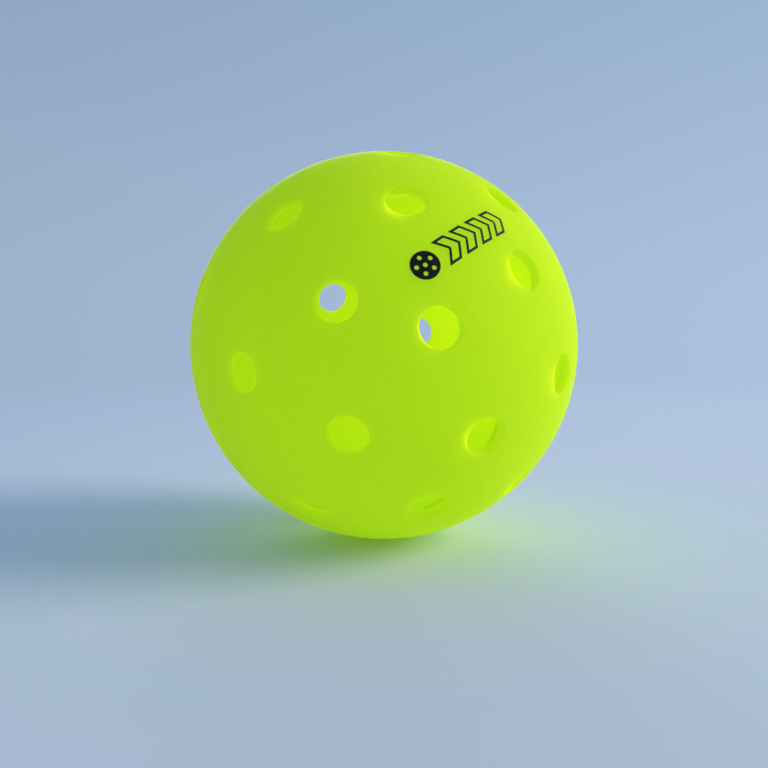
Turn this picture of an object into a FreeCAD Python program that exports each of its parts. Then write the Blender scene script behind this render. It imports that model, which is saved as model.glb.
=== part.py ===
"""Pickleball ball: two identical moulded half shells, butt welded at the equator, and a printed mark.

Lengths are millimetres. The origin is the ball's centre, +Z is up and the front faces -Y. The
moulding axis is the Y axis: the front half's pole is at -Y, and the weld seam lies in the XZ plane.
"""
import FreeCAD
import Part

import math
import os

Vector = FreeCAD.Vector

# The shell.
BALL_RADIUS = 37.0
WALL = 1.8
CAVITY_RADIUS = BALL_RADIUS - WALL

# A tool that goes through the wall starts and ends one wall's thickness clear of it.
THROUGH_WALL = 3 * WALL

# The holes of one half: rings about the moulding axis as (colatitude, number, first longitude).
# The lip is the rounding of each hole's outer and inner edge.
HOLE_RADIUS = 3.45
HOLE_LIP = 0.25
HOLE_RINGS = ((22.5, 4, 0.0), (48.5, 8, 0.0), (74.5, 8, 22.5))

# A longitude that no hole touches, from the pole to the seam.
CLEAR_LONGITUDE = 15.5

# How the halves sit: longitude 0 of the front half leans this far from +Z towards +X, and the
# rear half is the same moulding turned over, with its longitude 0 at this front longitude.
FRONT_ROLL = 17.0
REAR_INDEX = 67.5

# The weld: a hairline break on the outside, and inside the low bead squeezed out of each half.
SEAM_BREAK = 0.03
BEAD_HEIGHT = 0.15
BEAD_WIDTH = 0.8

# The printed mark, one ink film: a solid ball symbol and a row of open chevrons. Its length runs
# against the longitude, tilted away from the pole by this angle.
INK = 0.05
MARK_COLATITUDE = 31.3
MARK_LONGITUDE = 38.8
MARK_TILT = 6.0
MARK_LENGTH = 21.6
MARK_HEIGHT = 4.8
MARK_STROKE = 0.42

# The symbol: a dot in its middle and a ring of dots, the ring as a share of the symbol's radius.
DOT_RADIUS = 0.38
RING_DOTS = 5
DOT_RING = 0.6

# The chevrons: the length of an arm along the mark, and how far the tip runs on past it.
CHEVRONS = 4
CHEVRON_ARM = 2.6
CHEVRON_POINT = 1.8

FRONT_POLE = Vector(0, -1, 0)
LENGTH_TOLERANCE = 0.01


def direction(colatitude, longitude):
    """The unit vector at these angles, in degrees, about the front pole."""
    roll = math.radians(FRONT_ROLL)
    zero = Vector(math.sin(roll), 0, math.cos(roll))
    quarter = FRONT_POLE.cross(zero)
    colat = math.radians(colatitude)
    lon = math.radians(longitude)
    across = zero * math.cos(lon) + quarter * math.sin(lon)
    return FRONT_POLE * math.cos(colat) + across * math.sin(colat)


def half_section():
    """Half of the front shell's section, from the moulding axis to the seam, between the holes."""
    radial = direction(90, CLEAR_LONGITUDE)

    def point(out, depth):
        return radial * out + FRONT_POLE * depth

    outer_rim = point(math.sqrt(BALL_RADIUS**2 - SEAM_BREAK**2), SEAM_BREAK)
    seam_outer = point(BALL_RADIUS - SEAM_BREAK, 0)
    seam_inner = point(CAVITY_RADIUS - BEAD_HEIGHT / 2, 0)
    bead_crest = point(CAVITY_RADIUS - BEAD_HEIGHT, BEAD_WIDTH / 2)
    bead_foot = point(math.sqrt(CAVITY_RADIUS**2 - BEAD_WIDTH**2), BEAD_WIDTH)
    outer_pole = point(0, BALL_RADIUS)
    inner_pole = point(0, CAVITY_RADIUS)
    outer_middle = direction(45, CLEAR_LONGITUDE) * BALL_RADIUS
    inner_middle = direction(45, CLEAR_LONGITUDE) * CAVITY_RADIUS
    edges = [
        Part.Arc(outer_pole, outer_middle, outer_rim).toShape(),
        Part.makeLine(outer_rim, seam_outer),
        Part.makeLine(seam_outer, seam_inner),
        Part.Arc(seam_inner, bead_crest, bead_foot).toShape(),
        Part.Arc(bead_foot, inner_middle, inner_pole).toShape(),
        Part.makeLine(inner_pole, outer_pole),
    ]
    return Part.Face(Part.Wire(edges))


def hole_cutters():
    """One straight cylinder through the wall for each hole of the front half."""
    cutters = []
    for colatitude, number, first in HOLE_RINGS:
        for index in range(number):
            axis = direction(colatitude, first + 360 / number * index)
            start = axis * (CAVITY_RADIUS - WALL)
            cutters.append(Part.makeCylinder(HOLE_RADIUS, THROUGH_WALL, start, axis))
    return cutters


def hole_edges(shell):
    """The shell's round edges where a hole meets its outer or inner face."""
    round_length = 2 * math.pi * HOLE_RADIUS
    return [edge for edge in shell.Edges if abs(edge.Length - round_length) < LENGTH_TOLERANCE]


def front_half_shell():
    shell = half_section().revolve(Vector(), Vector(0, 1, 0), 360)
    shell = shell.cut(hole_cutters())
    return shell.makeFillet(HOLE_LIP, hole_edges(shell))


def rear_half_shell(front):
    """The front moulding turned over about an axis in the seam plane."""
    rear = front.copy()
    rear.rotate(Vector(), direction(90, REAR_INDEX / 2), 180)
    return rear


def polygon(points):
    """A flat face with these corners, given as (along, up) pairs."""
    corners = [Vector(along, up, 0) for along, up in points]
    return Part.Face(Part.makePolygon(corners + corners[:1]))


def disc(along, up, radius):
    centre = Vector(along, up, 0)
    return Part.Face(Part.Wire(Part.makeCircle(radius, centre)))


def ball_symbol():
    """A solid disc at the mark's left end, pierced by one dot and a ring of dots."""
    radius = MARK_HEIGHT / 2
    along = radius - MARK_LENGTH / 2
    symbol = disc(along, 0, radius).cut(disc(along, 0, DOT_RADIUS))
    for index in range(RING_DOTS):
        angle = math.pi / 2 + 2 * math.pi * index / RING_DOTS
        dot_along = along + radius * DOT_RING * math.cos(angle)
        dot_up = radius * DOT_RING * math.sin(angle)
        symbol = symbol.cut(disc(dot_along, dot_up, DOT_RADIUS))
    return symbol


def chevron(start):
    """An open chevron that points along the mark, drawn with one stroke."""
    top = MARK_HEIGHT / 2
    tip = CHEVRON_ARM + CHEVRON_POINT
    outline = polygon([
        (start, -top),
        (start + CHEVRON_ARM, -top),
        (start + tip, 0),
        (start + CHEVRON_ARM, top),
        (start, top),
        (start + CHEVRON_POINT, 0),
    ])
    return outline.cut(outline.makeOffset2D(-MARK_STROKE))


def printed_mark():
    """The mark's flat figure, laid on the outer face of the front half as a film of ink."""
    width = CHEVRON_ARM + CHEVRON_POINT
    first = MARK_HEIGHT + MARK_STROKE * 2 - MARK_LENGTH / 2
    pitch = (MARK_LENGTH / 2 - width - first) / (CHEVRONS - 1)
    figures = [ball_symbol()]
    for index in range(CHEVRONS):
        figures.append(chevron(first + pitch * index))

    outward = direction(MARK_COLATITUDE, MARK_LONGITUDE)
    quarter_turn = direction(90, MARK_LONGITUDE + 90)
    level = quarter_turn * -1
    tilt = FreeCAD.Rotation(outward, MARK_TILT)
    along = tilt.multVec(level)
    up = outward.cross(along)
    turn = FreeCAD.Rotation(along, up, outward, "ZXY")
    place = FreeCAD.Placement(outward * (BALL_RADIUS + WALL), turn)
    film = Part.makeSphere(BALL_RADIUS + INK).cut(Part.makeSphere(BALL_RADIUS))
    islands = []
    for figure in figures:
        figure.Placement = place
        prism = figure.extrude(outward * -THROUGH_WALL)
        islands.extend(prism.common(film).Solids)
    return Part.makeCompound(islands)


def main():
    os.makedirs("parts", exist_ok=True)
    front = front_half_shell()
    nodes = {
        "front_half_shell": front,
        "rear_half_shell": rear_half_shell(front),
        "printed_mark": printed_mark(),
    }
    for name, shape in nodes.items():
        shape.exportStep(f"parts/{name}.step")
        print(f"{name}: valid {shape.isValid()}, solids {len(shape.Solids)}, {shape.Volume:.1f} mm3")


main()
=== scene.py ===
"""The looks of the pickleball ball: its plastic, its print, the floor, the lights and the camera."""
import math

import bpy
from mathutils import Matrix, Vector


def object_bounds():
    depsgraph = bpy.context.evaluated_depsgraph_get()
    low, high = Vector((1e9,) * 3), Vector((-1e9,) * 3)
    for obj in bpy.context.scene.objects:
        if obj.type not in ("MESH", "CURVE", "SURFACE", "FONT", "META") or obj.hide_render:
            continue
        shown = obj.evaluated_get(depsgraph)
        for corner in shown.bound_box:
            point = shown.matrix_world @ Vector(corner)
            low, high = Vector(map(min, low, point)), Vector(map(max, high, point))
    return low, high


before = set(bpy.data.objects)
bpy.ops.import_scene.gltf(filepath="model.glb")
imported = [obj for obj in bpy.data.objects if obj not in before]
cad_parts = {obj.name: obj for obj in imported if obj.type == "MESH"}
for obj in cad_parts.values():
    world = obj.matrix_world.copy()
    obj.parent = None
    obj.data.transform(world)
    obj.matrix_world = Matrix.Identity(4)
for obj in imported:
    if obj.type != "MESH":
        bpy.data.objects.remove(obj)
cad_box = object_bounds()

CENTRE = (Vector(cad_box[0]) + Vector(cad_box[1])) / 2
RADIUS = (cad_box[1][1] - cad_box[0][1]) / 2
FLOOR_Z = cad_box[0][2]

# Angles are in degrees, distances are in ball radii unless a comment says otherwise, and colours are
# linear red, green and blue.

# The camera looks a little below the ball's centre. Its lens is in millimetres.
CAMERA_RADII = 4.3
CAMERA_AZIMUTH = -35.4
CAMERA_ELEVATION = 1.7
CAMERA_LENS = 37.95
AIM_BELOW = 2.62

# The plastic: its colour, its mirror reflection, and how far light travels inside it, in metres, and
# for red, green and blue as shares of that.
SHELL_GREEN = (0.43, 0.68, 0.013)
PLASTIC_IOR = 1.5
PLASTIC_SPECULAR = 0.003
LIGHT_REACH = 0.014
REACH_SHARES = (1, 1, 0.02)

# The painted glow: the shell gives off light of its own whatever the lamps, which brightens it, its
# hollow and the floor beside it. It stands in for the dye's fluorescence and for light passing
# through the shell. The welded faces inside the wall have only this share of the painted glow, so
# that the weld hardly shows. The full glow is back between these two distances from the weld's plane,
# in metres.
SHELL_PAINTED_GLOW = (0.72, 0.98, 0.025)
PAINTED_GLOW_STRENGTH = 0.2
WELD_PAINTED_GLOW = 0.7
WELD_NEAR = 0.000001
WELD_FAR = 0.000003

# How fine the unevenness of tone, gloss and skin is, in features to the metre, how rough the gloss
# makes the surface, and how deep the skin's unevenness is, in metres.
SHELL_TONE = 60
SHELL_GLOSS = 220
SHELL_ROUGHNESS = (0.34, 0.46)
SHELL_SKIN = 900
SKIN_DEPTH = 0.00003
INK_TONE = 700
INK_GLOSS = 500
INK_ROUGHNESS = (0.35, 0.55)

INK_BLACK = (0.003, 0.003, 0.003)
INK_SPECULAR = 0.2

# The floor's colour and size, and the two distances from the ball's foot between which it fades out.
PAPER = (0.75, 0.82, 0.94)
FLOOR_RADII = 60
FADE_START = 1.5
FADE_END = 14

# The backdrop: its colours at the horizon and overhead, and the sine of the elevation at which it
# has the second one.
SKY_LOW = (0.385, 0.505, 0.685)
SKY_HIGH = (0.29, 0.415, 0.60)
SKY_RISE = 0.5

# Towards one azimuth the backdrop is brighter, and towards another it is dimmer. The shares are its
# brightness away from that azimuth and towards it. The spans are the cosines of the angles from that
# azimuth between which the one passes into the other.
BRIGHT_AZIMUTH = 54
BRIGHT_SHARES = (0.88, 1.06)
BRIGHT_SPAN = (-0.45, 0.45)
DIM_AZIMUTH = -36
DIM_SHARES = (1, 0.6)
DIM_SPAN = (-0.5, 0.7)

# How far away the lights stand.
LIGHT_RADII = 40


def heading(azimuth, elevation=0):
    """The unit vector this way from the ball; azimuth 0 is in front, at -Y, and azimuth 90 at +X."""
    azimuth = math.radians(azimuth)
    elevation = math.radians(elevation)
    level = Vector((math.sin(azimuth), -math.cos(azimuth), 0))
    return level * math.cos(elevation) + Vector((0, 0, math.sin(elevation)))


def place(thing, azimuth, elevation, radii, target):
    """Puts a camera or light this way and this far from the ball, looking at the target."""
    bpy.context.scene.collection.objects.link(thing)
    thing.location = CENTRE + heading(azimuth, elevation) * radii * RADIUS
    thing.rotation_euler = (target - thing.location).to_track_quat("-Z", "Y").to_euler()


class Nodes:
    """A short way to build a node tree."""

    def __init__(self, tree):
        self.tree = tree
        self.tree.nodes.clear()

    def add(self, kind, **settings):
        node = self.tree.nodes.new(kind)
        for name, value in settings.items():
            setattr(node, name, value)
        return node

    def link(self, source, target):
        self.tree.links.new(source, target)

    def position(self, output="Object"):
        """The shaded point's place, in metres, or with Generated a backdrop point's heading."""
        return self.add("ShaderNodeTexCoord").outputs[output]

    def noise(self, scale, detail=2.0):
        """Noise from 0 to 1 with this many features to the metre."""
        node = self.add("ShaderNodeTexNoise")
        node.inputs["Scale"].default_value = scale
        node.inputs["Detail"].default_value = detail
        self.link(self.position(), node.inputs["Vector"])
        return node.outputs["Fac"]

    def along(self, vector, way):
        """How far the vector reaches this way."""
        node = self.add("ShaderNodeVectorMath", operation="DOT_PRODUCT")
        node.inputs[1].default_value = way
        self.link(vector, node.inputs[0])
        return node.outputs["Value"]

    def absolute(self, value):
        node = self.add("ShaderNodeMath", operation="ABSOLUTE")
        self.link(value, node.inputs[0])
        return node.outputs["Value"]

    def spread(self, value, low, high, start=0.0, end=1.0, curve="LINEAR"):
        """Maps a value that runs from start to end onto low to high, and holds it there outside."""
        node = self.add("ShaderNodeMapRange", interpolation_type=curve)
        node.inputs["From Min"].default_value = start
        node.inputs["From Max"].default_value = end
        node.inputs["To Min"].default_value = low
        node.inputs["To Max"].default_value = high
        self.link(value, node.inputs["Value"])
        return node.outputs["Result"]

    def blend(self, value, first, second):
        """A colour between two colours."""
        node = self.add("ShaderNodeMix", data_type="RGBA")
        node.inputs["A"].default_value = (*first, 1)
        node.inputs["B"].default_value = (*second, 1)
        self.link(value, node.inputs["Factor"])
        return node.outputs["Result"]

    def bump(self, height, distance, strength):
        node = self.add("ShaderNodeBump")
        node.inputs["Distance"].default_value = distance
        node.inputs["Strength"].default_value = strength
        self.link(height, node.inputs["Height"])
        return node.outputs["Normal"]

    def finish(self, shader):
        output = self.add("ShaderNodeOutputMaterial")
        self.link(shader, output.inputs["Surface"])


def new_material(name):
    material = bpy.data.materials.new(name)
    material.use_nodes = True
    return material, Nodes(material.node_tree)


def scaled(colour, factor):
    return tuple(channel * factor for channel in colour)


def shell_plastic():
    """Translucent neon polyethylene with a satin, very slightly uneven moulded skin and a painted
    glow.
    """
    material, n = new_material("neon_shell_plastic")
    shader = n.add("ShaderNodeBsdfPrincipled")
    colour = n.blend(n.noise(SHELL_TONE), scaled(SHELL_GREEN, 0.95), scaled(SHELL_GREEN, 1.03))
    n.link(colour, shader.inputs["Base Color"])
    n.link(n.spread(n.noise(SHELL_GLOSS, 3), *SHELL_ROUGHNESS), shader.inputs["Roughness"])
    n.link(n.bump(n.noise(SHELL_SKIN), SKIN_DEPTH, 0.5), shader.inputs["Normal"])
    shader.inputs["IOR"].default_value = PLASTIC_IOR
    shader.inputs["Specular IOR Level"].default_value = PLASTIC_SPECULAR
    shader.inputs["Subsurface Weight"].default_value = 1.0
    shader.inputs["Subsurface Radius"].default_value = REACH_SHARES
    shader.inputs["Subsurface Scale"].default_value = LIGHT_REACH
    # Painted glow: light that the shell gives off whatever the lamps, a little less on the welded
    # faces.
    shader.inputs["Emission Color"].default_value = (*SHELL_PAINTED_GLOW, 1)
    # The welded faces are flat and lie at Y 0.
    off_weld = n.absolute(n.along(n.position(), (0, 1, 0)))
    glow = n.spread(off_weld, PAINTED_GLOW_STRENGTH * WELD_PAINTED_GLOW, PAINTED_GLOW_STRENGTH, WELD_NEAR, WELD_FAR)
    n.link(glow, shader.inputs["Emission Strength"])
    n.finish(shader.outputs["BSDF"])
    return material


def mark_ink():
    """Black pad-print ink, a little uneven in tone and gloss."""
    material, n = new_material("mark_ink")
    shader = n.add("ShaderNodeBsdfPrincipled")
    colour = n.blend(n.noise(INK_TONE, 3), INK_BLACK, scaled(INK_BLACK, 4))
    n.link(colour, shader.inputs["Base Color"])
    n.link(n.spread(n.noise(INK_GLOSS, 3), *INK_ROUGHNESS), shader.inputs["Roughness"])
    shader.inputs["Specular IOR Level"].default_value = INK_SPECULAR
    n.finish(shader.outputs["BSDF"])
    return material


def give(node, material):
    """Puts the material in every slot of a CAD node's object."""
    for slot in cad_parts[node].material_slots:
        slot.material = material


def add_floor():
    """A wide pale floor that fades into the backdrop with distance."""
    bpy.ops.mesh.primitive_circle_add(
        vertices=128,
        radius=FLOOR_RADII * RADIUS,
        fill_type="NGON",
        location=(CENTRE.x, CENTRE.y, FLOOR_Z),
    )
    floor = bpy.context.object
    floor.name = "floor"
    material, n = new_material("floor_paper")
    paper = n.add("ShaderNodeBsdfDiffuse")
    paper.inputs["Color"].default_value = (*PAPER, 1)
    clear = n.add("ShaderNodeBsdfTransparent")
    distance = n.add("ShaderNodeVectorMath", operation="LENGTH")
    n.link(n.position(), distance.inputs[0])
    start = FADE_START * RADIUS
    end = FADE_END * RADIUS
    fade = n.spread(distance.outputs["Value"], 0, 1, start, end, "SMOOTHSTEP")
    mix = n.add("ShaderNodeMixShader")
    n.link(fade, mix.inputs["Fac"])
    n.link(paper.outputs["BSDF"], mix.inputs[1])
    n.link(clear.outputs["BSDF"], mix.inputs[2])
    n.finish(mix.outputs["Shader"])
    floor.data.materials.append(material)


def add_backdrop():
    """A pale studio all round: darker overhead, brighter to one side and dimmer to another."""
    world = bpy.data.worlds.new("studio")
    bpy.context.scene.world = world
    world.use_nodes = True
    n = Nodes(world.node_tree)
    way = n.position("Generated")
    rise = n.spread(n.along(way, (0, 0, 1)), 0, 1, 0, SKY_RISE, "SMOOTHSTEP")
    sideways = n.spread(n.along(way, heading(BRIGHT_AZIMUTH)), *BRIGHT_SHARES, *BRIGHT_SPAN)
    dimming = n.spread(n.along(way, heading(DIM_AZIMUTH)), *DIM_SHARES, *DIM_SPAN, "SMOOTHSTEP")
    strength = n.add("ShaderNodeMath", operation="MULTIPLY")
    n.link(sideways, strength.inputs[0])
    n.link(dimming, strength.inputs[1])
    sky = n.add("ShaderNodeBackground")
    n.link(n.blend(rise, SKY_LOW, SKY_HIGH), sky.inputs["Color"])
    n.link(strength.outputs["Value"], sky.inputs["Strength"])
    output = n.add("ShaderNodeOutputWorld")
    n.link(sky.outputs["Background"], output.inputs["Surface"])


def add_light(name, azimuth, elevation, width, power, colour):
    """A round soft light, which no view sees directly. Its power is in watts."""
    data = bpy.data.lights.new(name, "AREA")
    data.shape = "DISK"
    data.size = width * RADIUS
    data.energy = power
    data.color = colour
    light = bpy.data.objects.new(name, data)
    light.visible_camera = False
    place(light, azimuth, elevation, LIGHT_RADII, CENTRE)


def add_camera():
    data = bpy.data.cameras.new("camera")
    data.lens = CAMERA_LENS
    data.clip_start = RADIUS / 100
    camera = bpy.data.objects.new("camera", data)
    drop = CAMERA_RADII * RADIUS * math.tan(math.radians(AIM_BELOW))
    place(camera, CAMERA_AZIMUTH, CAMERA_ELEVATION, CAMERA_RADII, CENTRE - Vector((0, 0, drop)))
    bpy.context.scene.camera = camera


add_camera()
add_backdrop()
add_floor()
add_light("key", azimuth=52, elevation=25, width=24, power=14.2, colour=(1, 0.92, 0.78))
add_light("back", azimuth=150, elevation=12, width=24, power=6, colour=(0.85, 0.93, 1))

plastic = shell_plastic()
give("front_half_shell", plastic)
give("rear_half_shell", plastic)
give("printed_mark", mark_ink())

bpy.context.scene.view_settings.view_transform = "Standard"
bpy.context.scene.cycles.diffuse_bounces = 8
